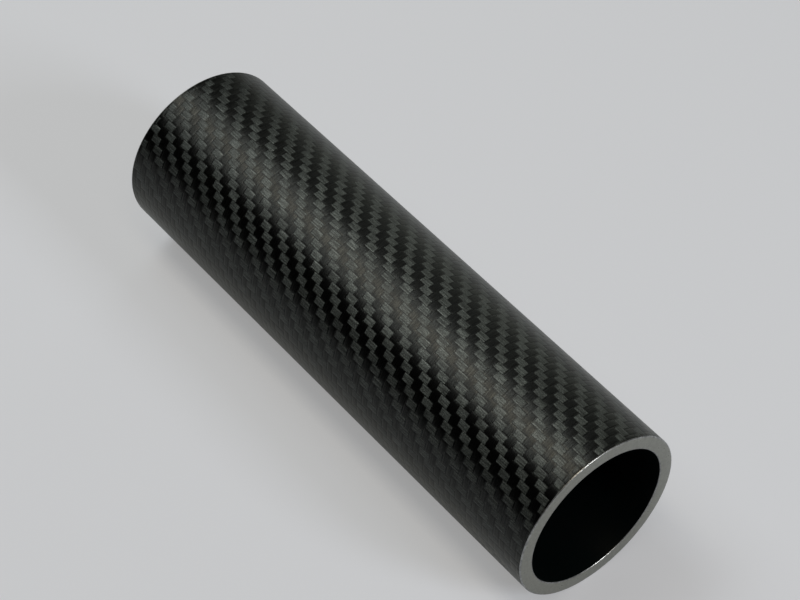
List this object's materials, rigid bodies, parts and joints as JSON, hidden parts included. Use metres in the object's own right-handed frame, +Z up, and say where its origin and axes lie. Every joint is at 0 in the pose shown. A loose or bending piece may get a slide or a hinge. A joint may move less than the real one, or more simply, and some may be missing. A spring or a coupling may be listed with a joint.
{
  "type": "carbon fibre tube",
  "caption": "Straight round tube of woven carbon fibre and resin, open at both ends, with square-cut ends and lightly broken edges.",
  "frame": {"origin": "on the surface that the tube lies on, under the middle of its length", "axes": "+X along the tube's axis, towards the end that faces the camera; +Z up, with the axis one outside radius above the origin"},
  "size_m": [0.167, 0.05, 0.05],
  "materials": {
    "carbon_fibre": "satin woven carbon fibre in black resin"
  },
  "bodies": {
    "root": {"tube": "carbon_fibre"}
  },
  "joints": []
}
